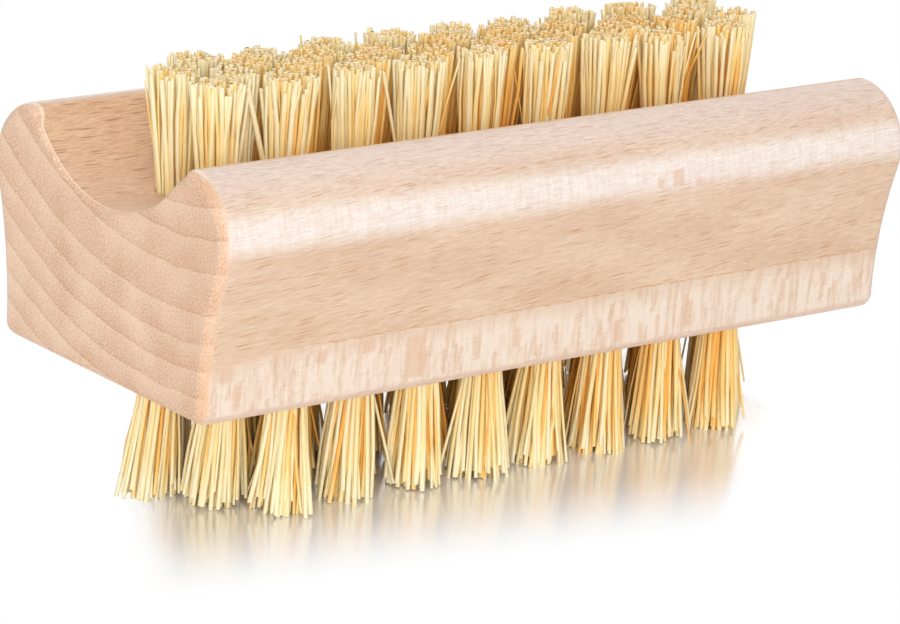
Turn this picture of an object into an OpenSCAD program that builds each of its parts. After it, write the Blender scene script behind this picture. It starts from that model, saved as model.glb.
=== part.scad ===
// Double-sided wooden nail brush. Millimetres, +Z up, standing on its lower tufts.
// The origin is on the ground below the middle of the block, +X runs along the
// block and the front long side faces -Y.

/* [Block] */
// Length of the wooden block
block_len = 95; // [80:1:120]
// Width of the block just above its flat underside
base_w = 38.3; // [35:0.1:41]
// Width across the two wings, the widest place of the block
grip_w = 44; // [42:0.1:50]
// Height from the underside to the top of the wings
block_h = 26.6; // [25:0.1:32]
// Radius of the rounded outer edge of each wing
nose_r = 7.1; // [6:0.1:8]
// Radius of the corners along the underside
base_corner_r = 1.6; // [1.2:0.1:3]
// Radius of the rounding round both end faces
end_round = 1; // [0.4:0.1:1.1]

/* [Trough] */
// Radius of the trough's round bottom
trough_r = 18.6; // [17:0.1:22]
// Depth of the trough below the top of the wings
trough_depth = 8.15; // [6.5:0.05:9]
// Radius of the rounding where the trough meets a wing
rim_r = 1.2; // [1.2:0.1:1.8]

/* [Tuft holes] */
// Diameter of each drilled hole
hole_d = 4.4; // [4:0.1:4.8]
// Distance between neighbouring holes of a row
tuft_pitch = 8.75; // [8:0.05:10]
// Distance between neighbouring rows in the trough
upper_row_gap = 3.8; // [3.6:0.1:4.2]
// Distance between neighbouring rows under the block
lower_row_gap = 5.55; // [5:0.05:6]
// Depth of the holes below the bottom of the trough
upper_hole_depth = 6.5; // [5.5:0.1:7.5]
// Depth of the holes above the underside
lower_hole_depth = 7; // [5.5:0.1:8]
// Least distance from an end of the block to a hole's centre in the trough
upper_end_gap = 9; // [7:0.5:12]
// Least distance from an end of the block to a hole's centre underneath
lower_end_gap = 7; // [6:0.5:12]

/* [Tufts] */
// Height of the upper tufts above the bottom of the trough
upper_tuft_len = 13.8; // [11:0.1:20]
// Height of the lower tufts below the underside
lower_tuft_len = 14; // [11:0.1:20]
// Diameter of a tuft across its spread tips
tip_d = 7; // [6:0.1:8]
// Side of a strand where it leaves the hole
strand_root_w = 0.9; // [0.6:0.05:1]
// Side of a strand at its tip
strand_tip_w = 1.1; // [0.8:0.05:1.3]
// How much longer or shorter the upper strands are cut
tip_wander = 0.35; // [0:0.05:0.8]

/* [Anchors] */
// Thickness of the flat wire that holds a tuft down
anchor_t = 0.4; // [0.3:0.05:0.6]
// Height of the flat wire
anchor_h = 2.2; // [1.5:0.1:2.8]
// How far each end of the wire bites into the wood
anchor_bite = 0.35; // [0.2:0.05:0.5]
// Thickness of the folded fibre between the wire and the bottom of the hole
fold_h = 0.9; // [0.6:0.1:1.5]

/* [Hidden] */
upper_rows = 4;
lower_rows = 5;

// Clearances: overrun of every cut, strand to bore wall, tuft to tuft at the tips
overrun = 0.6;
bore_gap = 0.25;
tuft_gap = 0.2;
// How far a strand reaches down into the fibre plug that it grows from
strand_sink = 0.8;

// Heights above the ground
base_z = lower_tuft_len;
top_z = base_z + block_h;
trough_z = top_z - trough_depth;
upper_floor_z = trough_z - upper_hole_depth;
lower_floor_z = base_z + lower_hole_depth;
upper_tip_z = trough_z + upper_tuft_len;

// Arc centres of the block's outline, as [y, z] above the underside
hole_r = hole_d / 2;
nose_c = [grip_w / 2 - nose_r, block_h - nose_r];
trough_c = [0, block_h - trough_depth + trough_r];
corner_c = [base_w / 2 - base_corner_r, base_corner_r];
nose_in = base_w / 2 - nose_c.x;
nose_up = nose_c.y - base_corner_r;
// Radius of the hollow flank, below zero where a base wider than the wings makes it bulge
flank_r = (nose_in ^ 2 + nose_up ^ 2 - nose_r ^ 2) / (grip_w - base_w);
flank_c = [base_w / 2 + flank_r, base_corner_r];
rim_c = meeting_point(trough_c, trough_r + rim_r, nose_c, nose_r - rim_r);

// Place of the hub in each half of an end face, in shares of nose_c.x and block_h
hub_share = [0.7, 0.45];

// Angles at which one arc of the outline runs into the next
rim_from_trough = angle_of(rim_c - trough_c);
rim_from_nose = angle_of(rim_c - nose_c);
flank_from_nose = angle_of(sign(flank_r) * (flank_c - nose_c));

// Fineness: steps of each arc, and rings of the rounding at each end
trough_steps = 8;
rim_steps = 4;
nose_steps = 10;
flank_steps = 6;
corner_steps = 4;
end_steps = 3;

function angle_of(v) = atan2(v.y, v.x);

function arc(centre, radius, from, to, steps) = [
    for (i = [0:steps]) let (a = from + (to - from) * i / steps)
        centre + radius * [cos(a), sin(a)]
];

function without_first(list) = [for (i = [1:len(list) - 1]) list[i]];

// The upper crossing of two circles
function meeting_point(a, ra, b, rb) =
    let (
        apart = norm(b - a),
        along = (ra ^ 2 - rb ^ 2 + apart ^ 2) / (2 * apart),
        aside = sqrt(ra ^ 2 - along ^ 2),
        u = (b - a) / apart
    ) a + along * u + aside * [-u.y, u.x];

// Right half of the block's outline, drawn in by inset, from the middle of the
// trough over the wing and down the flank to the middle of the underside
function half_outline(inset) = concat(
    arc(trough_c, trough_r + inset, -90, rim_from_trough, trough_steps),
    without_first(arc(rim_c, rim_r - inset, rim_from_trough + 180, rim_from_nose, rim_steps)),
    without_first(arc(nose_c, nose_r - inset, rim_from_nose, flank_from_nose, nose_steps)),
    without_first(arc(flank_c, flank_r + inset, flank_from_nose + 180, 180, flank_steps)),
    without_first(arc(corner_c, base_corner_r - inset, 0, -90, corner_steps)),
    [[0, inset]]
);

function outline(inset) =
    let (right = half_outline(inset), last = len(right) - 1)
    concat(right, [for (i = [last - 1:-1:1]) [-right[i].x, right[i].y]]);

// Rings of the rounded ends as [x, inset], from the left end to the right end
end_rings = [
    for (i = [0:end_steps]) let (a = 90 * i / end_steps)
        [block_len / 2 - end_round * (1 - cos(a)), end_round * (1 - sin(a))]
];
rings = concat(
    [for (ring = end_rings) [-ring.x, ring.y]],
    [for (i = [end_steps:-1:0]) end_rings[i]]
);

// Places of the tufts: counts and centres of each row, front row first
upper_count = floor((block_len - 2 * upper_end_gap - tuft_pitch / 2) / tuft_pitch) + 1;
lower_count = floor((block_len - 2 * lower_end_gap) / tuft_pitch) + 1;
middle_row = (lower_rows + 1) / 2;

function row_places(count, shift, y) = [
    for (i = [0:count - 1]) [(i - (count - 1) / 2) * tuft_pitch + shift, y]
];

function upper_places(row) = row_places(
    upper_count,
    (row % 2 == 0 ? 1 : -1) * tuft_pitch / 4,
    (row - (upper_rows + 1) / 2) * upper_row_gap
);

function lower_places(row) = row_places(
    lower_count - abs(row - middle_row),
    0,
    (row - middle_row) * lower_row_gap
);

// Height of the trough's surface at a distance y from the middle
function trough_surface_z(y) = base_z + trough_c.y - sqrt(trough_r ^ 2 - y ^ 2);

// The upper fibre plugs end level with the lowest point of their hole's rim
function plug_top_z(y) = trough_surface_z(max(0, abs(y) - hole_r));

// How far the tips of a tuft may spread along and across the block before they
// meet the tuft beside them in the next row
function tip_reach(row_gap) =
    let (
        beside = [tuft_pitch / 2, row_gap],
        room = norm(beside) ^ 2 / 2 - tuft_gap * norm(beside),
        half_w = strand_tip_w / 2
    ) [
        min(tip_d / 2, (room - half_w * beside.y) / beside.x),
        min(tip_d / 2, (room - half_w * beside.x) / beside.y, row_gap - tuft_gap / 2)
    ];

upper_reach = tip_reach(upper_row_gap);
lower_reach = tip_reach(lower_row_gap);

// Directions in which the strands of a tuft stand: one upright, four around it
strand_dirs = [[0, 0], [1, 0], [0, 1], [-1, 0], [0, -1]];

function square_at(place, side, z) = [
    for (corner = [[-1, -1], [1, -1], [1, 1], [-1, 1]])
        [place.x + corner.x * side / 2, place.y + corner.y * side / 2, z]
];

// One strand with four sides from its root at height z0 to its tip at height z1
module strand(root, tip, z0, z1) {
    polyhedron(
        points = concat(square_at(root, strand_root_w, z0), square_at(tip, strand_tip_w, z1)),
        faces = [
            [0, 1, 2], [0, 2, 3], [4, 6, 5], [4, 7, 6],
            [0, 4, 5], [0, 5, 1], [1, 5, 6], [1, 6, 2],
            [2, 6, 7], [2, 7, 3], [3, 7, 4], [3, 4, 0]
        ]
    );
}

module anchor() {
    translate([0, 0, fold_h + anchor_h / 2])
        cube([hole_d + 2 * anchor_bite, anchor_t, anchor_h], center = true);
}

// A tuft that points up: a plug of folded fibre that fills the hole from its
// floor at height zero to plug_h, and strands that spread to tip_h
module tuft(plug_h, tip_h, reach, wander, seed) {
    root_out = hole_r - bore_gap - strand_root_w / 2;
    tip_out = [reach.x - strand_tip_w / 2, reach.y - strand_tip_w / 2];
    difference() {
        union() {
            cylinder(h = plug_h, r = hole_r, $fn = 32);
            for (i = [0:len(strand_dirs) - 1])
                strand(
                    strand_dirs[i] * root_out,
                    [strand_dirs[i].x * tip_out.x, strand_dirs[i].y * tip_out.y],
                    plug_h - strand_sink,
                    tip_h + wander * sin(137 * (seed + i))
                );
        }
        anchor();
    }
}

module upper_tufts(row) {
    places = upper_places(row);
    plug_h = plug_top_z(places[0].y) - upper_floor_z;
    color("khaki")
        for (i = [0:len(places) - 1])
            translate([places[i].x, places[i].y, upper_floor_z])
                tuft(plug_h, upper_tip_z - upper_floor_z, upper_reach, tip_wander, 7 * i + row);
}

module lower_tufts(row) {
    places = lower_places(row);
    color("wheat")
        for (i = [0:len(places) - 1])
            translate([places[i].x, places[i].y, lower_floor_z])
                rotate([180, 0, 0])
                    tuft(lower_hole_depth, lower_floor_z, lower_reach, 0, 0);
}

module upper_anchors(row) {
    color("silver")
        for (place = upper_places(row))
            translate([place.x, place.y, upper_floor_z]) anchor();
}

module lower_anchors(row) {
    color("silver")
        for (place = lower_places(row))
            translate([place.x, place.y, lower_floor_z]) rotate([180, 0, 0]) anchor();
}

// Each half of an end face is a fan of triangles round a point that sees all of
// its outline, and shares the upright line in the middle with the other half
function end_hub(side) = [side * nose_c.x * hub_share.x, block_h * hub_share.y];

module block_body() {
    half = len(half_outline(0)) - 1;
    count = 2 * half;
    last = len(rings) - 1;
    hubs = len(rings) * count;
    translate([0, 0, base_z])
        polyhedron(
            points = concat(
                [for (ring = rings) for (p = outline(ring.y)) [ring.x, p.x, p.y]],
                [for (end = [-1, 1]) for (side = [1, -1]) let (hub = end_hub(side))
                    [end * block_len / 2, hub.x, hub.y]]
            ),
            faces = concat(
                [for (i = [0:half - 1]) [hubs, i + 1, i]],
                [[hubs, 0, half]],
                [for (i = [half:count - 1]) [hubs + 1, (i + 1) % count, i]],
                [[hubs + 1, half, 0]],
                [for (i = [0:half - 1]) [hubs + 2, last * count + i, last * count + i + 1]],
                [[hubs + 2, last * count + half, last * count]],
                [for (i = [half:count - 1])
                    [hubs + 3, last * count + i, last * count + (i + 1) % count]],
                [[hubs + 3, last * count, last * count + half]],
                [for (j = [0:last - 1]) for (i = [0:count - 1]) let (k = (i + 1) % count)
                    [j * count + i, j * count + k, (j + 1) * count + k]],
                [for (j = [0:last - 1]) for (i = [0:count - 1]) let (k = (i + 1) % count)
                    [j * count + i, (j + 1) * count + k, (j + 1) * count + i]]
            )
        );
}

// One drilled hole that points up, with the slits that its anchor has cut
module hole(depth) {
    cylinder(h = depth + overrun, r = hole_r, $fn = 32);
    anchor();
}

module block() {
    color("burlywood")
        difference() {
            block_body();
            for (row = [1:upper_rows]) for (place = upper_places(row))
                translate([place.x, place.y, upper_floor_z])
                    hole(trough_surface_z(abs(place.y) + hole_r) - upper_floor_z);
            for (row = [1:lower_rows]) for (place = lower_places(row))
                translate([place.x, place.y, lower_floor_z])
                    rotate([180, 0, 0]) hole(lower_hole_depth);
        }
}

block();
for (row = [1:upper_rows]) {
    upper_tufts(row);
    upper_anchors(row);
}
for (row = [1:lower_rows]) {
    lower_tufts(row);
    lower_anchors(row);
}
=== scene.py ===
"""Looks of a double-sided wooden nail brush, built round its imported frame.

Everything is in metres in the frame's own axes: +X along the block, +Z up, and the
front long side faces -Y. The brush stands on the tips of its lower tufts at height 0.
The materials work in millimetres along those same axes.
"""

import math
import random
from typing import NamedTuple

import bmesh
import bpy
from mathutils import Matrix, Vector


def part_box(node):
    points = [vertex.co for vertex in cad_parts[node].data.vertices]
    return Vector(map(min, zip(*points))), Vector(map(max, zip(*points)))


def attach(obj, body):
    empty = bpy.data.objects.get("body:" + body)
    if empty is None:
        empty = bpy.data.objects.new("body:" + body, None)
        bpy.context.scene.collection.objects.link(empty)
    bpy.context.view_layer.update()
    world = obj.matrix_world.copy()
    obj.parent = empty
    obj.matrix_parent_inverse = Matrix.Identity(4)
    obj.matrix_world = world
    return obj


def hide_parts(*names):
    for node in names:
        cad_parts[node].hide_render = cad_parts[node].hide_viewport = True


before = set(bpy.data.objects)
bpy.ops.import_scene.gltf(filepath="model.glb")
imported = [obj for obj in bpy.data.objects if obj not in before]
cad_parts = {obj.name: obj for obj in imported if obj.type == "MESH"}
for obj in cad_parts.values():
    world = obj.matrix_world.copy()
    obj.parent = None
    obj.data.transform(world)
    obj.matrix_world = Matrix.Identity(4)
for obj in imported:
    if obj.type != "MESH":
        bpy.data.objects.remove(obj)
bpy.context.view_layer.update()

MM = 0.001

# Sizes of the block's outline that the frame's boxes do not give
BLOCK_HEIGHT = 26.6 * MM
BASE_WIDTH = 38.3 * MM
NOSE_RADIUS = 7.15 * MM
CORNER_RADIUS = 1.6 * MM
TROUGH_RADIUS = 17.0 * MM
TROUGH_DEPTH = 7.7 * MM
RIM_RADIUS = 1.5 * MM

# The end edges are rounded, but along the trough only by a share of that. The full
# rounding comes back between two angles, in degrees round from the trough's lowest line
END_ROUND = 1.4 * MM
END_STEPS = 6
TROUGH_EDGE_SHARE = 0.4
TROUGH_EDGE_FADE = (48, 54)

# Edges that turn by more than this, in degrees, look sharp
CREASE_ANGLE = 25

# Sizes of both tuft fields that the frame's boxes do not give
HOLE_DIAMETER = 4.4 * MM
HOLE_SEGMENTS = 32
TUFT_PITCH = 8.75 * MM
ANCHOR_LENGTH = 5.1 * MM

# Overall sizes and heights, read from the frame
block_low, block_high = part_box("block")
BLOCK_LENGTH = block_high.x - block_low.x
GRIP_WIDTH = block_high.y - block_low.y
BASE_Z = block_low.z
TOP_Z = BASE_Z + BLOCK_HEIGHT
TROUGH_Z = TOP_Z - TROUGH_DEPTH
UPPER_TIP_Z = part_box("upper_tufts_1")[1].z
TABLE_Z = 0.0


class Stray(NamedTuple):
    """A single fibre that stands out in the front row, with its sizes in millimetres."""

    # Number of its tuft, counted from 0 at the left
    tuft: int
    # Places of its root and tip along the block, from the tuft's centre
    root: float
    tip: float
    width: float


class TuftField(NamedTuple):
    """What sets the tufts of one side apart. Lengths are in millimetres, but for the holes' depth."""

    side: str
    rows: int
    hole_depth: float
    seed: int
    # How far the outermost tips stand from the tuft's own middle, least and most
    reach: tuple
    # How far the tufts lean outwards at the ends of the block
    splay: float
    # Unevenness of single tips, and the share of the tufts' uneven cut that shows
    uneven: float
    cut_share: float
    # Paleness of the tufts inside the field, where those on its outside have 1; the lower paleness is
    # painted shade
    inner_paleness: float
    strays: tuple
    # How far the strays stop short of the tufts' tips
    stray_trim: float


UPPER_FIELD = TuftField(
    side="upper", rows=4, hole_depth=6.95 * MM, seed=100,
    reach=(2.45, 2.85), splay=0.4, uneven=0.6, cut_share=1.0, inner_paleness=0.35,
    strays=(Stray(1, -1.7, -5.3, 0.62), Stray(3, -1.8, -5.0, 0.4), Stray(6, 1.6, 4.4, 0.4)),
    stray_trim=1.0,
)
LOWER_FIELD = TuftField(
    side="lower", rows=5, hole_depth=7.0 * MM, seed=220,
    reach=(2.8, 3.4), splay=1.8, uneven=0.8, cut_share=0.3, inner_paleness=0.2,
    strays=(Stray(1, 1.8, 6.2, 0.36), Stray(3, -1.6, -5.2, 0.36), Stray(6, 1.8, 5.4, 0.4)),
    stray_trim=0.5,
)
FIELDS = (UPPER_FIELD, LOWER_FIELD)

# The fibres of a tuft, and the faces of one fibre along and round it
FIBRES = 104
FIBRE_STEPS = 4
FIBRE_SIDES = 6
# Turn from one fibre of a tuft to the next, which packs them evenly
GOLDEN_ANGLE = math.pi * (3 - math.sqrt(5))
# Width of the fibres, least and most in millimetres, and their thickness as a share of it
FIBRE_WIDTH = (0.38, 0.64)
FIBRE_FLATNESS = (0.65, 0.9)
# Room that the outermost fibres leave to the wall of the hole
HOLE_PLAY = 0.3 * MM
# In millimetres, the spreads of a tuft's lean and of a fibre's bow, and the mean and spread
# of what a tuft was cut shorter
TUFT_LEAN = 0.24
FIBRE_BOW = 0.16
TUFT_CUT = (0.1, 0.3)
# Some fibres bend out of their tuft: how often, the spreads of their tips and bows in
# millimetres, and their width as a share of the others'
UNRULY_CHANCE = 0.09
UNRULY_TIP = 0.85
UNRULY_BOW = 0.3
UNRULY_WIDTH = 0.6
# Painted shade inside each tuft: fibres turn paler beyond this share of the tuft's radius, over a zone
# of this width
OUTER_START = 0.7
OUTER_ZONE = 0.25
# Tone of the strays, where 0 is golden and 1 is pale
STRAY_TONE = 0.9

# Centre line of the tree's growth rings, above the block and towards its front side
PITH_Y = -11.3 * MM
PITH_Z = 78 * MM
# Distances of the year rings from that centre line, in millimetres, read off the end grain
RING_RADII = (41.1, 44.3, 47.8, 52.2, 55.4, 58.3, 61.1, 63.8, 66.6, 69.5)
# Shades at distances in millimetres from a ring: it is a thin dark line, and beyond it pale
# early wood darkens towards the next one
RING_SHADES = ((-0.2, 0.5), (0.0, 0.1), (0.14, 1.0))
# The ring below which the front side is silky, its paler tone partly a painted sheen, and the radius
# for lengths round the pith
BAND_RING = RING_RADII[5]
MIDDLE_RING = 55
# Tan patches that stand out on the front side: middle x and z, width and height in millimetres
TAN_PATCHES = (
    (-20.1, 18.0, 2.7, 4.6), (-43.2, 16.8, 0.9, 3.0), (-44.5, 19.6, 1.4, 1.9), (-32.5, 19.8, 1.2, 1.4),
    (-26.4, 20.1, 1.7, 1.5), (13.1, 34.3, 1.6, 1.9), (10.5, 34.0, 0.9, 1.0), (16.4, 33.6, 1.3, 0.7),
    (18.5, 17.4, 1.0, 3.2), (8.2, 16.7, 1.1, 2.6), (32.5, 18.3, 0.9, 2.8), (-6.3, 18.1, 1.0, 2.4),
)

# Lines across the table beyond which the camera sees plain white: the line's direction to
# the right and to the back, and the distances in millimetres between which it fades
FLOOR_FADES = (
    (-0.876, 0.482, 32, 38.7),
    (0.651, -0.759, 32.8, 34.5),
    (-0.173, -0.985, 17.5, 38),
    (0.017, 1, 13.9, 18),
    (1, -0.04, 40.2, 43.2),
)
# How far the table top goes to each side
TABLE_REACH = 3.0

# Softboxes: name, azimuth from the front towards the right, elevation, distance, size, strength
LAMPS = (
    ("main_softbox", -42, 26, 0.7, (0.5, 0.5), 0.245),
    ("right_softbox", 50, 20, 0.9, (0.5, 0.8), 0.055),
    ("top_softbox", 0, 80, 0.9, (0.8, 0.8), 0.28),
    ("low_softbox", -37.5, 11, 0.8, (0.12, 0.24), 0.27),
    ("rear_softbox", 150, 35, 0.9, (0.8, 0.6), 0.16),
)
LAMP_TARGET = Vector((0, 0, 0.025))
# Strength of the even light from all round, where the white that the camera sees has 1
WORLD_LIGHT = 0.45

# The photograph's view: directions in degrees, as for the softboxes, and place
CAMERA_AZIMUTH = -38.817
CAMERA_ELEVATION = 16.697
CAMERA_ROLL = 3.377
CAMERA_PLACE = Vector((-283.67, -352.29, 150.53)) * MM
# Lens and sensor in millimetres, and the farthest distance that the camera sees
CAMERA_LENS = 167.57
SENSOR_WIDTH = 36
CAMERA_REACH = 10


def display(red, green, blue):
    """A colour as it shows on screen, 0 to 255, made linear for the shaders."""
    channels = [c / 255 for c in (red, green, blue)]
    linear = [c / 12.92 if c < 0.04045 else ((c + 0.055) / 1.055) ** 2.4 for c in channels]
    return (*linear, 1.0)


class Wire:
    """A shader socket in an expression. Arithmetic on it adds Math nodes to its tree."""

    def __init__(self, finish, socket):
        self.finish = finish
        self.socket = socket

    def __add__(self, other):
        return self.finish.math("ADD", self, other)

    def __radd__(self, other):
        return self.finish.math("ADD", other, self)

    def __sub__(self, other):
        return self.finish.math("SUBTRACT", self, other)

    def __rsub__(self, other):
        return self.finish.math("SUBTRACT", other, self)

    def __mul__(self, other):
        return self.finish.math("MULTIPLY", self, other)

    def __rmul__(self, other):
        return self.finish.math("MULTIPLY", other, self)

    def __truediv__(self, other):
        return self.finish.math("DIVIDE", self, other)

    def __rtruediv__(self, other):
        return self.finish.math("DIVIDE", other, self)

    def __pow__(self, other):
        return self.finish.math("POWER", self, other)

    def __abs__(self):
        return self.finish.math("ABSOLUTE", self)

    def over(self, start, end):
        """0 at start and before, 1 at end and beyond, smooth in between. end may be the smaller."""
        return self.finish.node(
            "ShaderNodeMapRange",
            {"interpolation_type": "SMOOTHSTEP", "clamp": True},
            {"Value": self, "From Min": start, "From Max": end},
        )


class Finish:
    """The node tree of one material or of the world, with the nodes that the finishes use."""

    def __init__(self, tree):
        self.tree = tree

    def node(self, kind, settings=None, values=None, out=0):
        """Adds a node: its settings first, then the values or wires of its sockets. It comes
        back as the wire of the output named by out, or as several where out is a tuple."""
        made = self.tree.nodes.new(kind)
        for name, value in (settings or {}).items():
            if name == "stops":
                self.set_stops(made.color_ramp, value)
            else:
                setattr(made, name, value)
        for name, value in (values or {}).items():
            self.feed(made.inputs[name], value)
        if isinstance(out, tuple):
            return [Wire(self, made.outputs[name]) for name in out]
        return Wire(self, made.outputs[out])

    def feed(self, socket, value):
        if isinstance(value, Wire):
            self.tree.links.new(value.socket, socket)
        else:
            socket.default_value = value

    def set_stops(self, ramp, stops):
        while len(ramp.elements) < len(stops):
            ramp.elements.new(1.0)
        for element, (place, colour) in zip(ramp.elements, stops):
            element.position = place
            element.color = colour

    def math(self, operation, *operands):
        return self.node("ShaderNodeMath", {"operation": operation}, dict(enumerate(operands)))

    def vector(self, x, y, z):
        return self.node("ShaderNodeCombineXYZ", values={"X": x, "Y": y, "Z": z})

    def split(self, vector):
        return self.node("ShaderNodeSeparateXYZ", values={"Vector": vector}, out=("X", "Y", "Z"))

    def object_place(self):
        """Object coordinates in millimetres, as three wires."""
        metres = self.node("ShaderNodeTexCoord", out="Object")
        return self.split(
            self.node("ShaderNodeVectorMath", {"operation": "SCALE"}, {0: metres, "Scale": 1 / MM})
        )

    def surface_normal(self):
        return self.split(self.node("ShaderNodeTexCoord", out="Normal"))

    def attribute(self, name):
        return self.node("ShaderNodeAttribute", {"attribute_name": name}, out="Fac")

    def ramp(self, value, *stops):
        return self.node("ShaderNodeValToRGB", {"stops": stops}, {"Fac": value})

    def mix(self, share, first, second):
        """Colours: first where share is 0, second where it is 1."""
        return self.node(
            "ShaderNodeMix",
            {"data_type": "RGBA", "blend_type": "MIX"},
            {0: share, 6: first, 7: second},
            out=2,
        )

    def noise(self, x, y, z, detail=2.0, roughness=0.5):
        return self.node(
            "ShaderNodeTexNoise",
            {"noise_dimensions": "3D"},
            {"Vector": self.vector(x, y, z), "Scale": 1.0, "Detail": detail, "Roughness": roughness},
        )

    def chance(self, x, y):
        """A random value from 0 to 1 for each pair of whole numbers."""
        return self.node(
            "ShaderNodeTexWhiteNoise", {"noise_dimensions": "2D"}, {"Vector": self.vector(x, y, 0.0)}
        )

    def flecks(self, x, y, z, share):
        """Spindles one unit apart, of which about that share shows, each with its own strength."""
        near, tint = self.node(
            "ShaderNodeTexVoronoi",
            {"feature": "F1"},
            {"Vector": self.vector(x, y, z), "Scale": 1.0},
            out=("Distance", "Color"),
        )
        pick = self.node("ShaderNodeSeparateColor", values={"Color": tint})
        return (1 - near.over(0.16, 0.4)) * pick.over(1 - share, 1 - share * 0.4)

    def bump(self, height, distance):
        return self.node(
            "ShaderNodeBump", values={"Height": height, "Distance": distance, "Strength": 1.0}
        )


def new_material(name, **constants):
    """A material with its Principled shader, and the constants set on that shader's sockets."""
    material = bpy.data.materials.new(name)
    material.use_nodes = True
    finish = Finish(material.node_tree)
    shader = next(n for n in finish.tree.nodes if n.type == "BSDF_PRINCIPLED")
    for socket, value in constants.items():
        shader.inputs[socket.replace("_", " ")].default_value = value
    return material, finish, shader


class BeechGrain:
    """The wires that the tones of the beech share. Lengths are in millimetres."""

    def __init__(self, finish):
        self.finish = finish
        self.x, self.y, self.z = finish.object_place()
        self.normal_x, self.normal_y, self.normal_z = finish.surface_normal()
        self.find_pith()
        self.find_faces()
        self.draw_pores()
        self.draw_rays()

    def find_pith(self):
        """Distance from the pith, which drops near the left end, the way round it at the
        middle ring, and how squarely the surface faces it."""
        x, y, z = self.x, self.y, self.z
        bend = self.finish.noise(x * 0.03, y * 0.05, z * 0.05, 1.0) - 0.5
        wobble = self.finish.noise(x * 0.08, y * 0.3, z * 0.3) - 0.5
        across = y - PITH_Y / MM
        down = PITH_Z / MM - z
        self.true_radius = (across * across + down * down) ** 0.5
        self.radius = self.true_radius + x.over(-47, -37) * 1.1 + bend * 0.7 + wobble * 0.7
        self.round_way = self.finish.math("ARCTAN2", across, down) * MIDDLE_RING
        self.facing = abs((self.normal_y * across - self.normal_z * down) / self.true_radius)
        self.flat = self.facing.over(0.45, 0.8)

    def find_faces(self):
        """Where the surface is an end, the trough, the front side, its silky band below, which is
        partly a painted sheen, and its silky shoulder above, which carries a painted highlight."""
        self.end_grain = abs(self.normal_x).over(0.25, 0.75)
        above_trough = (TROUGH_Z + TROUGH_RADIUS) / MM - self.z
        self.from_trough = (self.y * self.y + above_trough * above_trough) ** 0.5
        self.hollow = self.from_trough.over(TROUGH_RADIUS / MM + 1.0, TROUGH_RADIUS / MM + 0.5)
        self.front = (1 - self.y.over(-13, -11)) * (1 - self.end_grain)
        ragged = self.finish.noise(self.x * 0.8, 0.0, self.z * 0.6) - 0.5
        self.ragged_radius = self.radius + ragged * 0.5
        below_ring = self.ragged_radius.over(BAND_RING - 0.15, BAND_RING + 0.15)
        self.lower_band = below_ring * self.front
        # The silky shoulder, where a highlight is painted into the colour
        self.silky = (1 - self.facing.over(0.1, 0.45)) * self.z.over(25, 30)

    def draw_pores(self):
        """Flecks, pores and hatching drawn out along the grain, and a sanded speck."""
        x, y, z = self.x, self.y, self.z
        lean_y = y + x * 0.02
        lean_z = z - x * 0.09
        self.lean_z = lean_z
        self.flat_flecks = self.finish.flecks(x * 0.24, lean_y * 3.8, z * 3.8, 0.75)
        self.side_flecks = self.finish.flecks(x * 0.26, y * 4.4, lean_z * 4.4, 0.45)
        self.fine_flecks = self.finish.flecks(x * 0.6, lean_y * 6.5, lean_z * 6.5, 0.6)
        self.pores = self.finish.noise(x * 0.55, lean_y * 6.0, lean_z * 6.0, 3.0, 0.65)
        self.hatch = self.finish.noise(x * 0.5, lean_y * 8.0, lean_z * 8.0, 1.0)
        self.speck = self.finish.noise(x * 4.0, y * 4.5, z * 4.5, 3.0, 0.9)
        self.cloud = self.finish.noise(x * 0.06, y * 0.2, z * 0.2)

    def draw_rays(self):
        """Rays stand upright in the wood, so silky faces show them as upright bricks of tone."""
        x, z = self.x, self.z
        self.jitter = self.finish.noise(x * 0.5, self.y * 3.0, z * 3.0, 1.0)
        column = self.finish.math("FLOOR", x * 1.3 + self.jitter * 0.9)
        course = z * 0.3 + self.finish.chance(column, 0.0) * 5 + self.jitter * 0.5
        self.brick = self.finish.chance(column, self.finish.math("FLOOR", course))
        self.streak = self.finish.noise(x * 1.6, self.round_way * 0.3, z * 0.25, 2.0, 0.7)


def plain_tone(grain):
    """The front side between its silky parts, and whatever has no tone of its own."""
    return grain.finish.ramp(
        grain.cloud * 0.35 + grain.pores * 0.5 + grain.hatch * 0.15,
        (0.37, display(207, 171, 140)),
        (0.5, display(219, 188, 160)),
        (0.63, display(230, 204, 178)),
    )


# Painted sheen: the paler, pinkish-white tone that faces looking up take
def top_sheen_tone(grain):
    return grain.finish.ramp(
        grain.pores * 0.6 + grain.hatch * 0.4,
        (0.38, display(220, 196, 184)),
        (0.62, display(240, 221, 212)),
    )


def band_figure_and_sheen_tone(grain):
    """The silky band along the foot of the front side: paler quarter-sawn wood, partly a painted
    sheen.
    """
    return grain.finish.ramp(
        grain.brick * 0.17 + grain.streak * 0.68 + grain.hatch * 0.15,
        (0.34, display(219, 186, 159)),
        (0.44, display(227, 202, 180)),
        (0.56, display(235, 217, 200)),
    )


def shoulder_highlight_tone(grain):
    """The pale silky stretch below the top of the long sides, mostly a painted highlight."""
    return grain.finish.ramp(
        grain.streak * 0.4 + grain.hatch * 0.05 + grain.pores * 0.55,
        (0.38, display(229, 210, 197)),
        (0.6, display(243, 234, 228)),
    )


# The trough is darker and browner: painted shade of the hollow over the wood's own tone
def trough_shade_tone(grain):
    return grain.finish.ramp(
        grain.cloud * 0.3 + grain.pores * 0.7,
        (0.36, display(202, 156, 121)),
        (0.5, display(218, 177, 142)),
        (0.64, display(232, 197, 164)),
    )


def base_tone(grain):
    return grain.finish.ramp(
        grain.pores * 0.6 + grain.hatch * 0.4,
        (0.38, display(216, 182, 160)),
        (0.62, display(232, 206, 187)),
    )


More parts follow.
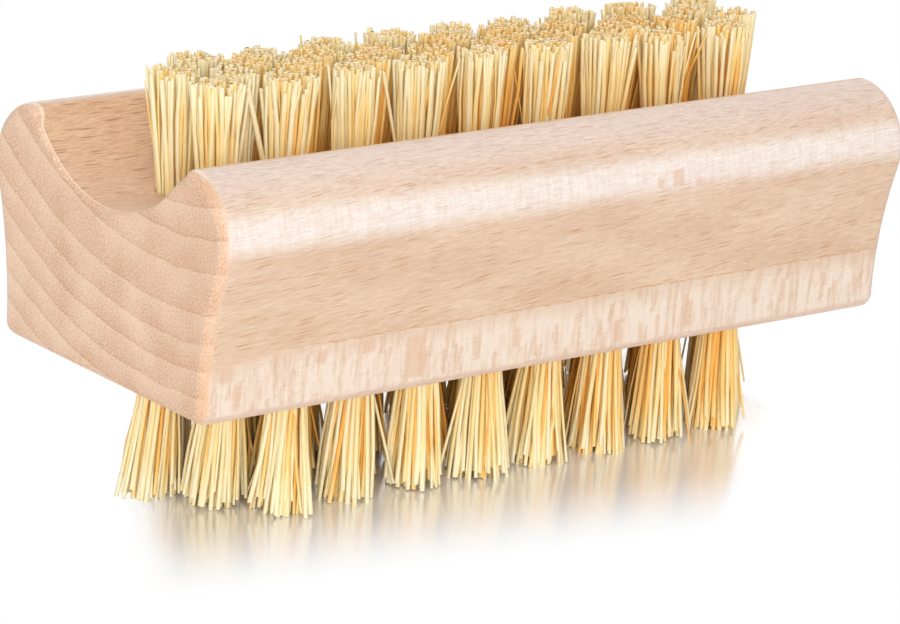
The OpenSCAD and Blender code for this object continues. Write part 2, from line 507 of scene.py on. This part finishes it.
def tan_patch(grain, middle_x, middle_z, width, height):
    """1 inside one tan patch, with soft and slightly ragged edges."""
    beside = abs(grain.x + grain.jitter * 0.4 - middle_x - 0.2)
    above = abs(grain.z + grain.jitter * 0.8 - middle_z - 0.4)
    return (
        beside.over(width / 2 + 0.25, width / 2 - 0.25)
        * above.over(height / 2 + 0.35, height / 2 - 0.35)
    )


def long_grain(grain):
    """The tones of all faces that run along the grain."""
    mix = grain.finish.mix
    # Faces that look up, outside the trough, get a painted sheen
    top = grain.normal_z.over(0.4, 0.9) * (1 - grain.hollow)
    deep = grain.ragged_radius.over(BAND_RING, BAND_RING + 2.4)
    patches = sum(tan_patch(grain, *patch) for patch in TAN_PATCHES)
    under = (0 - grain.normal_z).over(0.15, 0.5)
    colour = mix(top * 0.7, plain_tone(grain), top_sheen_tone(grain))
    colour = mix(grain.lower_band * (0.4 + deep * 0.6), colour, band_figure_and_sheen_tone(grain))
    colour = mix(grain.silky * 0.9, colour, shoulder_highlight_tone(grain))
    colour = mix(grain.hollow, colour, trough_shade_tone(grain))
    colour = mix(patches * grain.front * 0.6, colour, display(220, 180, 148))
    return mix(under * 0.85, colour, base_tone(grain))


def flecked(grain, colour):
    """Lays the marks of the long grain over a colour: flecks, dashes and veins."""
    mix = grain.finish.mix
    colour = mix(grain.fine_flecks * (0.14 + grain.facing * 0.25), colour, display(200, 150, 112))
    # Dashes are stronger in the trough, and darker there with its painted shade
    dash = mix(grain.hollow, display(182, 130, 96), display(158, 110, 76))
    colour = mix(grain.flat_flecks * grain.flat * (0.45 + grain.hollow * 0.3), colour, dash)
    thin = (1 - grain.flat) * (1 - grain.lower_band * 0.85) * (1 - grain.silky * 0.7)
    colour = mix(grain.side_flecks * thin * 0.65, colour, display(188, 128, 80))
    patchy = grain.finish.noise(grain.x * 0.25, grain.y, grain.z)
    wave = grain.finish.noise(grain.x * 0.05, grain.y * 0.9, grain.lean_z * 0.9)
    vein = (1 - abs(wave - 0.5).over(0.0, 0.02)) * patchy.over(0.46, 0.6)
    return mix(vein * thin * 0.5, colour, display(204, 150, 108))


def band_lined(grain, colour):
    """Draws the broken dark line above the silky band over a colour."""
    patchy = grain.finish.noise(grain.x * 0.5, 0.0, grain.z * 1.5).over(0.4, 0.62)
    line = 1 - abs(grain.ragged_radius - BAND_RING).over(0.04, 0.17)
    line = line * grain.front * (0.12 + patchy * 0.6) * grain.x.over(-46, -30)
    return grain.finish.mix(line, colour, display(204, 146, 102))


def year_rings(grain):
    """The shade of the year rings, as one ramp from inside the first to outside the last."""
    start = RING_RADII[0] - 4.0
    span = RING_RADII[-1] + 3.0 - start
    stops = []
    for ring in RING_RADII:
        for gap, shade in RING_SHADES:
            stops.append(((ring + gap - start) / span, (shade, shade, shade, 1.0)))
    return grain.finish.ramp((grain.radius - start) / span, *stops)


def end_tone(grain):
    """The sawn ends: year rings, sanded speck and pale rays, with painted shade that darkens them in
    front, and paler behind.
    """
    finish = grain.finish
    rays = finish.noise(0.0, grain.round_way * 3.5, grain.true_radius * 0.12, 1.0).over(0.6, 0.72)
    colour = finish.ramp(
        year_rings(grain) * 0.12 + grain.speck * 0.72 + grain.cloud * 0.16,
        (0.4, display(200, 149, 114)),
        (0.5, display(225, 185, 155)),
        (0.6, display(244, 215, 188)),
    )
    colour = finish.mix(rays * 0.2, colour, display(246, 224, 202))
    # Painted shade towards the front of the end
    colour = finish.mix(grain.y.over(-6, -17) * 0.16, colour, display(196, 146, 112))
    lower_rear = grain.y.over(4, 18) * grain.z.over(34, 22)
    return finish.mix(lower_rear * 0.16, colour, display(250, 226, 202))


def left_edged(grain, colour):
    """Tints the left end's rounded edge: painted shade in patches, and a pale painted highlight along
    the trough.
    """
    left = 0 - grain.normal_x
    inside = grain.from_trough.over(TROUGH_RADIUS / MM + 3.2, TROUGH_RADIUS / MM + 2.2)
    # Painted shade on the left end's rounded edge, in patches
    rounded_edge_shade = left.over(0.2, 0.5) * (1 - left.over(0.8, 0.97)) * (1 - inside)
    rounded_edge_shade = rounded_edge_shade * (grain.jitter * 0.35 + grain.brick.over(0.4, 0.9) * 0.35)
    colour = grain.finish.mix(rounded_edge_shade, colour, display(230, 182, 140))
    # Painted highlight: a thin pale line where the end meets the trough
    trough_edge_highlight = left.over(0.08, 0.2) * (1 - left.over(0.3, 0.55)) * inside
    return grain.finish.mix(trough_edge_highlight * 0.7, colour, display(248, 226, 202))


def beech():
    """Steamed beech: year rings round the pith line, rays, flecks and a sanded surface."""
    material, finish, shader = new_material(
        "beech_wood", IOR=1.5, Sheen_Weight=0.12, Sheen_Roughness=0.35,
    )
    grain = BeechGrain(finish)
    sides = band_lined(grain, flecked(grain, long_grain(grain)))
    colour = left_edged(grain, finish.mix(grain.end_grain, sides, end_tone(grain)))
    relief = grain.pores * 0.5 + grain.speck * 0.3 - grain.flat_flecks * grain.flat * 0.2
    finish.feed(shader.inputs["Base Color"], colour)
    finish.feed(shader.inputs["Roughness"], 0.4 + grain.pores * 0.14 + grain.end_grain * 0.2)
    finish.feed(shader.inputs["Normal"], finish.bump(relief, 0.05 * MM))
    return material


def tampico():
    """Plant fibre: pale straw with golden strands, streaked along its length."""
    material, finish, shader = new_material("plant_fibre", IOR=1.45)
    x, y, z = finish.object_place()
    tone = finish.attribute("tone")
    along = finish.attribute("along")
    cut_end = finish.attribute("cut_end")
    tips = along.over(0.75, 1.0)
    # Painted shade: the fibres turn more golden towards the right end and lower down
    golden = x.over(-32, 36) * (0.1 + z.over(25, 15) * 0.14)
    streak = finish.noise(x * 6.0, y * 6.0, z * 0.4, 2.0, 0.6)
    # Paler towards the tips, and painted shade that turns the fibres more golden towards their roots
    colour = finish.ramp(
        tone * 0.8 + streak * 0.4 + tips * 0.26 - (1 - along.over(0.3, 0.7)) * 0.14 - 0.09 - golden,
        (0.0, display(246, 168, 62)),
        (0.25, display(255, 204, 110)),
        (0.5, display(255, 229, 160)),
        (0.85, display(255, 243, 202)),
    )
    colour = finish.mix(cut_end * 0.7, colour, display(255, 234, 206))
    finish.feed(shader.inputs["Base Color"], colour)
    finish.feed(shader.inputs["Roughness"], 0.35 + streak * 0.2)
    finish.feed(shader.inputs["Normal"], finish.bump(streak, 0.06 * MM))
    return material


def anchor_steel():
    """Bright drawn wire with fine lines along its length."""
    material, finish, shader = new_material("anchor_steel", Metallic=1.0)
    x, y, z = finish.object_place()
    lines = finish.noise(x * 0.8, y * 20.0, z * 20.0)
    colour = finish.ramp(lines, (0.3, display(196, 196, 194)), (0.7, display(228, 228, 224)))
    finish.feed(shader.inputs["Base Color"], colour)
    finish.feed(shader.inputs["Roughness"], 0.25 + lines * 0.2)
    return material


def white_table():
    """A glossy white table top that shows a soft reflection and fades to plain white."""
    material, finish, shader = new_material(
        "white_table", Base_Color=(0.95, 0.95, 0.95, 1), Metallic=0.36, Roughness=0.2,
    )
    x, y = finish.object_place()[:2]
    kept = 1.0
    for east, north, near, far in FLOOR_FADES:
        kept = kept * (1 - (x * east + y * north).over(near, far))
    light = finish.node("ShaderNodeEmission", values={"Color": (1, 1, 1, 1), "Strength": 1.0})
    camera = finish.node("ShaderNodeLightPath", out="Is Camera Ray")
    gloss = Wire(finish, shader.outputs[0])
    shown = finish.node("ShaderNodeMixShader", values={0: camera * (1 - kept), 1: gloss, 2: light})
    output = next(n for n in finish.tree.nodes if n.type == "OUTPUT_MATERIAL")
    finish.feed(output.inputs["Surface"], shown)
    return material


def placed(bm, name, material=None):
    """Turns a bmesh into an object of the scene."""
    mesh = bpy.data.meshes.new(name)
    bm.to_mesh(mesh)
    bm.free()
    if material:
        mesh.materials.append(material)
    made = bpy.data.objects.new(name, mesh)
    bpy.context.scene.collection.objects.link(made)
    return made


def finished_piece(bm, name, material, replaced):
    """Turns a bmesh into a piece of the object that stands for one node of the frame."""
    piece = placed(bm, name, material)
    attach(piece, "root")
    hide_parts(replaced)
    return piece


def only_verts(elements):
    return [v for v in elements if isinstance(v, bmesh.types.BMVert)]


def direction(vector):
    """Angle of a (y, z) vector, seen along -X."""
    return math.atan2(vector.y, vector.x)


def circles_cross(first, first_radius, second, second_radius):
    """The upper crossing of two circles in the (y, z) plane."""
    apart = (second - first).length
    along = (first_radius**2 - second_radius**2 + apart**2) / (2 * apart)
    aside = math.sqrt(first_radius**2 - along**2)
    unit = (second - first) / apart
    return first + along * unit + aside * Vector((-unit.y, unit.x))


def outline_arcs():
    """Centre (y, z), angle and steps of each arc, from the trough's lowest line to the base."""
    nose = Vector((GRIP_WIDTH / 2 - NOSE_RADIUS, TOP_Z - NOSE_RADIUS))
    trough = Vector((0, TROUGH_Z + TROUGH_RADIUS))
    corner = Vector((BASE_WIDTH / 2 - CORNER_RADIUS, BASE_Z + CORNER_RADIUS))
    inward = BASE_WIDTH / 2 - nose.x
    upward = nose.y - corner.y
    flank_radius = (inward**2 + upward**2 - NOSE_RADIUS**2) / (GRIP_WIDTH - BASE_WIDTH)
    flank = Vector((BASE_WIDTH / 2 + flank_radius, corner.y))
    rim = circles_cross(trough, TROUGH_RADIUS + RIM_RADIUS, nose, NOSE_RADIUS - RIM_RADIUS)
    rim_from_trough = direction(rim - trough)
    rim_from_nose = direction(rim - nose)
    flank_from_nose = direction(flank - nose)
    return (
        (trough, rim_from_trough + math.pi / 2, 44),
        (rim, rim_from_nose - rim_from_trough - math.pi, 10),
        (nose, flank_from_nose - rim_from_nose, 36),
        (flank, -flank_from_nose, 20),
        (corner, -math.pi / 2, 10),
    )


def block_end(bm, x):
    """The block's outline at x as one face, spun arc by arc and mirrored."""
    last = [bm.verts.new((x, 0, TROUGH_Z))]
    for centre, angle, steps in outline_arcs():
        spun = bmesh.ops.spin(
            bm, geom=last, cent=(x, centre.x, centre.y), axis=(1, 0, 0), angle=angle, steps=steps
        )
        last = only_verts(spun["geom_last"])
    floor = bmesh.ops.extrude_vert_indiv(bm, verts=last)["verts"]
    floor[0].co = (x, 0, BASE_Z)
    bmesh.ops.mirror(bm, geom=bm.verts[:] + bm.edges[:], axis="Y", merge_dist=MM / 1000)
    return bmesh.ops.contextual_create(bm, geom=bm.edges[:])["faces"][0]


def block_shell():
    """The block without its holes: the outline drawn out along X, its end edges rounded."""
    bm = bmesh.new()
    start = block_end(bm, block_low.x + END_ROUND)
    drawn = bmesh.ops.extrude_face_region(bm, geom=[start], use_keep_orig=True)["geom"]
    bmesh.ops.translate(bm, verts=only_verts(drawn), vec=(BLOCK_LENGTH - 2 * END_ROUND, 0, 0))
    bmesh.ops.recalc_face_normals(bm, faces=bm.faces[:])
    for end in [f for f in bm.faces if len(f.verts) > 4]:
        for step in range(END_STEPS):
            near = step / END_STEPS * math.pi / 2
            far = (step + 1) / END_STEPS * math.pi / 2
            bmesh.ops.inset_region(
                bm, faces=[end], use_even_offset=True,
                thickness=END_ROUND * (math.cos(near) - math.cos(far)),
                depth=END_ROUND * (math.sin(far) - math.sin(near)),
            )
    tighten_trough_edges(bm)
    return bm


def tighten_trough_edges(bm):
    """Draws the rounding of the end edges in along the trough, where the cutter left it small."""
    middle = TROUGH_Z + TROUGH_RADIUS
    rounded_zone = END_ROUND * 1.01
    fade_start, fade_end = TROUGH_EDGE_FADE
    for vert in bm.verts:
        from_end = BLOCK_LENGTH / 2 - abs(vert.co.x)
        outward = math.hypot(vert.co.y, middle - vert.co.z) - TROUGH_RADIUS
        round_way = math.degrees(math.atan2(abs(vert.co.y), middle - vert.co.z))
        if max(outward, from_end) > rounded_zone or round_way > fade_end:
            continue
        fade = max(0.0, (round_way - fade_start) / (fade_end - fade_start))
        share = TROUGH_EDGE_SHARE + (1 - TROUGH_EDGE_SHARE) * fade * fade * (3 - 2 * fade)
        scale = (TROUGH_RADIUS + outward * share) / (TROUGH_RADIUS + outward)
        vert.co.y *= scale
        vert.co.z = middle + (vert.co.z - middle) * scale
        vert.co.x = math.copysign(BLOCK_LENGTH / 2 - from_end * share, vert.co.x)


def trough_height(y):
    """Height of the trough's surface at a distance y from the middle."""
    return TROUGH_Z + TROUGH_RADIUS - math.sqrt(TROUGH_RADIUS**2 - y**2)


def tuft_places(field, row):
    """Centres of the tufts of a row, read from the box of that row's anchors."""
    low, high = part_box(f"{field.side}_anchors_{row}")
    first = low.x + ANCHOR_LENGTH / 2
    last = high.x - ANCHOR_LENGTH / 2
    count = round((last - first) / TUFT_PITCH) + 1
    return [(first + TUFT_PITCH * i, (low.y + high.y) / 2) for i in range(count)]


def drill_run(field, y):
    """Heights of a drill's ends: at the hole's floor, and a little outside the surface."""
    if field is UPPER_FIELD:
        return TROUGH_Z - field.hole_depth, trough_height(abs(y) + HOLE_DIAMETER / 2) + MM
    return BASE_Z - MM, BASE_Z + field.hole_depth


def drill_bits():
    """One cylinder for each tuft hole."""
    bm = bmesh.new()
    for field in FIELDS:
        for row in range(1, field.rows + 1):
            for x, y in tuft_places(field, row):
                low, high = drill_run(field, y)
                bmesh.ops.create_cone(
                    bm, cap_ends=True, segments=HOLE_SEGMENTS, depth=high - low,
                    radius1=HOLE_DIAMETER / 2, radius2=HOLE_DIAMETER / 2,
                    matrix=Matrix.Translation((x, y, (low + high) / 2)),
                )
    return bm


def drilled(bm, bits):
    """The shell in bm with the bits cut out of it."""
    shell = placed(bm, "shell")
    cutter = placed(bits, "bits")
    cut = shell.modifiers.new("holes", "BOOLEAN")
    cut.operation = "DIFFERENCE"
    cut.solver = "EXACT"
    cut.object = cutter
    bpy.context.view_layer.update()
    depsgraph = bpy.context.evaluated_depsgraph_get()
    result = bmesh.new()
    result.from_mesh(shell.evaluated_get(depsgraph).to_mesh())
    bpy.data.objects.remove(shell)
    bpy.data.objects.remove(cutter)
    return result


def make_block():
    bm = drilled(block_shell(), drill_bits())
    for face in bm.faces:
        face.smooth = True
    crease = math.radians(CREASE_ANGLE)
    for edge in bm.edges:
        edge.smooth = len(edge.link_faces) == 2 and edge.calc_face_angle() < crease
    block = finished_piece(bm, "beech_block", beech(), "block")
    flat = block.modifiers.new("flat_faces", "WEIGHTED_NORMAL")
    flat.keep_sharp = True


def fibre_pattern():
    """A straight fibre one unit wide and tall, its upper cap marked as the cut end."""
    bm = bmesh.new()
    along = bm.verts.layers.float.new("along")
    bm.verts.layers.float.new("tone")
    cut_end = bm.faces.layers.float.new("cut_end")
    bmesh.ops.create_cone(
        bm, cap_ends=True, segments=FIBRE_SIDES, radius1=0.5, radius2=0.5, depth=1.0,
        matrix=Matrix.Translation((0, 0, 0.5)),
    )
    upright = [e for e in bm.edges if abs(e.verts[0].co.z - e.verts[1].co.z) > 0.5]
    bmesh.ops.subdivide_edges(bm, edges=upright, cuts=FIBRE_STEPS - 1, use_grid_fill=True)
    for vert in bm.verts:
        vert[along] = vert.co.z
    for face in bm.faces:
        cap = abs(face.normal.z) > 0.5
        face.smooth = not cap
        face[cut_end] = 1.0 if cap and face.calc_center_median().z > 0.5 else 0.0
    for edge in bm.edges:
        edge.smooth = all(f.smooth for f in edge.link_faces)
    mesh = bpy.data.meshes.new("fibre_pattern")
    bm.to_mesh(mesh)
    bm.free()
    return mesh


def add_fibre(bm, pattern, path, width, depth, turn, tone):
    """Copies the pattern into bm and lays it along path, a function of the share of its length."""
    start = len(bm.verts)
    bm.from_mesh(pattern)
    bm.verts.ensure_lookup_table()
    tones = bm.verts.layers.float["tone"]
    across = Vector((math.cos(turn), math.sin(turn), 0))
    aside = Vector((-math.sin(turn), math.cos(turn), 0))
    for vert in bm.verts[start:]:
        flat = vert.co.copy()
        vert.co = path(flat.z) + across * flat.x * width + aside * flat.y * depth
        vert[tones] = tone


def scatter(dice, amount):
    """A random step in the flat, from a spread in millimetres."""
    return Vector((dice.gauss(0, amount), dice.gauss(0, amount), 0)) * MM


def bowed_path(base, rise, mouth_share, root, tip, bow):
    """The way of a fibre: straight in its hole, then bowed out towards its tip."""

    def place(share):
        free = max(0.0, (share - mouth_share) / (1 - mouth_share))
        flat = root.lerp(tip, free) + bow * math.sin(math.pi * free)
        return base + flat + Vector((0, 0, rise * share))

    return place


def add_tuft(bm, pattern, dice, field, centre, heights, paleness):
    """One tuft: fibres packed round in its hole, spread towards tips of uneven length."""
    root_z, mouth_z, tip_z = heights
    base = Vector((*centre, root_z))
    length = tip_z - root_z
    mouth_share = (mouth_z - root_z) / length
    reach = dice.uniform(*field.reach) * MM
    splay = (centre[0] / block_high.x) ** 3 * field.splay * MM
    lean = scatter(dice, TUFT_LEAN) + Vector((splay, 0, 0))
    first_turn = dice.uniform(0, 2 * math.pi)
    cut = max(0.0, dice.gauss(*TUFT_CUT)) * field.cut_share * MM
    for i in range(FIBRES):
        out = math.sqrt((i + 0.5) / FIBRES)
        turn = first_turn + i * GOLDEN_ANGLE
        ray = Vector((math.cos(turn), math.sin(turn), 0))
        outer = min(1.0, max(0.0, (out - OUTER_START) / OUTER_ZONE))
        root = ray * out * (HOLE_DIAMETER / 2 - HOLE_PLAY)
        tip = ray * out * reach + lean + scatter(dice, field.uneven * 0.5)
        bow = scatter(dice, FIBRE_BOW)
        width = dice.uniform(*FIBRE_WIDTH) * MM
        trim = cut + max(0.0, dice.gauss(field.uneven * 0.5, field.uneven)) * MM
        if dice.random() < UNRULY_CHANCE:
            tip += scatter(dice, UNRULY_TIP)
            bow = scatter(dice, UNRULY_BOW)
            width *= UNRULY_WIDTH
        path = bowed_path(base, length - math.copysign(trim, length), mouth_share, root, tip, bow)
        # The tone is random, with painted shade: inner fibres and tufts inside the field are darker
        tone = (dice.random() * 0.5 + outer * 0.5) * paleness
        add_fibre(bm, pattern, path, width * dice.uniform(*FIBRE_FLATNESS), width, turn, tone)


def add_stray(bm, pattern, stray, centre, root_z, tip_z):
    """One straight fibre that stands out beside a tuft."""
    x, y = centre
    start = Vector((x + stray.root * MM, y, root_z))
    end = Vector((x + stray.tip * MM, y, tip_z))
    width = stray.width * MM
    add_fibre(bm, pattern, lambda share: start.lerp(end, share), width, width, 0, STRAY_TONE)


def tuft_heights(field, row, y):
    """Heights of a tuft's root, at its anchor, of its hole's mouth and of its tips."""
    low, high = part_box(f"{field.side}_anchors_{row}")
    if field is UPPER_FIELD:
        return low.z, trough_height(max(0.0, abs(y) - HOLE_DIAMETER / 2)), UPPER_TIP_Z
    return high.z, BASE_Z, TABLE_Z


def make_tufts(field, row, material, pattern):
    """All tufts of one row as one piece."""
    bm = bmesh.new()
    dice = random.Random(field.seed + row)
    centres = tuft_places(field, row)
    heights = tuft_heights(field, row, centres[0][1])
    for centre in centres:
        # Tufts inside the field are darkened with painted shade
        outside = row in (1, field.rows) or centre in (centres[0], centres[-1])
        paleness = 1.0 if outside else field.inner_paleness
        add_tuft(bm, pattern, dice, field, centre, heights, paleness)
    if row == 1:
        root_z, mouth_z, tip_z = heights
        stray_tip_z = tip_z - math.copysign(field.stray_trim * MM, tip_z - root_z)
        for stray in field.strays:
            add_stray(bm, pattern, stray, centres[stray.tuft], mouth_z, stray_tip_z)
    if field is LOWER_FIELD:
        # The pattern is laid upside down here, which turns its faces inside out
        bmesh.ops.recalc_face_normals(bm, faces=bm.faces[:])
    piece_name = f"{field.side}_bristles_{row}"
    finished_piece(bm, piece_name, material, f"{field.side}_tufts_{row}")


def make_bristles():
    material = tampico()
    pattern = fibre_pattern()
    for field in FIELDS:
        for row in range(1, field.rows + 1):
            make_tufts(field, row, material, pattern)
    bpy.data.meshes.remove(pattern)


def finish_anchors():
    """The anchors stay as the frame has them and only get their steel."""
    steel = anchor_steel()
    for name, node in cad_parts.items():
        if "anchors" in name:
            node.data.materials.clear()
            node.data.materials.append(steel)


def make_table():
    bm = bmesh.new()
    bmesh.ops.create_grid(bm, x_segments=1, y_segments=1, size=TABLE_REACH)
    placed(bm, "table_top", white_table())


def direction_to(azimuth, elevation):
    """Unit vector towards a lamp or the camera. Azimuth 0 is in front, 90 to the right."""
    a = math.radians(azimuth)
    e = math.radians(elevation)
    return Vector((math.sin(a) * math.cos(e), -math.cos(a) * math.cos(e), math.sin(e)))


def make_lamp(name, azimuth, elevation, distance, size, strength):
    """A softbox that looks at the brush. Its distance doesn't change how bright it is there."""
    lamp = bpy.data.lights.new(name, "AREA")
    lamp.shape = "RECTANGLE"
    lamp.size, lamp.size_y = size
    lamp.energy = strength * math.pi**2 * distance**2
    holder = bpy.data.objects.new(name, lamp)
    towards = direction_to(azimuth, elevation)
    holder.location = LAMP_TARGET + towards * distance
    holder.rotation_mode = "QUATERNION"
    holder.rotation_quaternion = (-towards).to_track_quat("-Z", "Y")
    bpy.context.scene.collection.objects.link(holder)


def make_world():
    """Even light from all round, which camera, glossy and transmission rays see as plain white."""
    world = bpy.data.worlds.new("studio")
    world.use_nodes = True
    bpy.context.scene.world = world
    finish = Finish(world.node_tree)
    background = next(n for n in finish.tree.nodes if n.type == "BACKGROUND")
    camera, glossy, transmission = finish.node(
        "ShaderNodeLightPath", out=("Is Camera Ray", "Is Glossy Ray", "Is Transmission Ray")
    )
    white = finish.math("MAXIMUM", camera, finish.math("MAXIMUM", glossy, transmission))
    finish.feed(background.inputs["Color"], (1, 1, 1, 1))
    finish.feed(background.inputs["Strength"], WORLD_LIGHT + white * (1 - WORLD_LIGHT))


def make_camera():
    """The photograph's view: from the front left, a little above, with a slight roll."""
    azimuth = math.radians(CAMERA_AZIMUTH)
    roll = math.radians(CAMERA_ROLL)
    back = direction_to(CAMERA_AZIMUTH, CAMERA_ELEVATION)
    right = Vector((math.cos(azimuth), math.sin(azimuth), 0))
    up = back.cross(right)
    rolled_right = right * math.cos(roll) + up * math.sin(roll)
    rolled_up = up * math.cos(roll) - right * math.sin(roll)
    camera = bpy.data.cameras.new("photo_view")
    camera.sensor_width = SENSOR_WIDTH
    camera.lens = CAMERA_LENS
    camera.clip_end = CAMERA_REACH
    holder = bpy.data.objects.new("photo_view", camera)
    turned = Matrix((rolled_right, rolled_up, back)).transposed().to_4x4()
    holder.matrix_world = Matrix.Translation(CAMERA_PLACE) @ turned
    bpy.context.scene.collection.objects.link(holder)
    bpy.context.scene.camera = holder


make_block()
make_bristles()
finish_anchors()
make_table()
make_world()
for lamp in LAMPS:
    make_lamp(*lamp)
make_camera()
bpy.context.scene.view_settings.view_transform = "Standard"
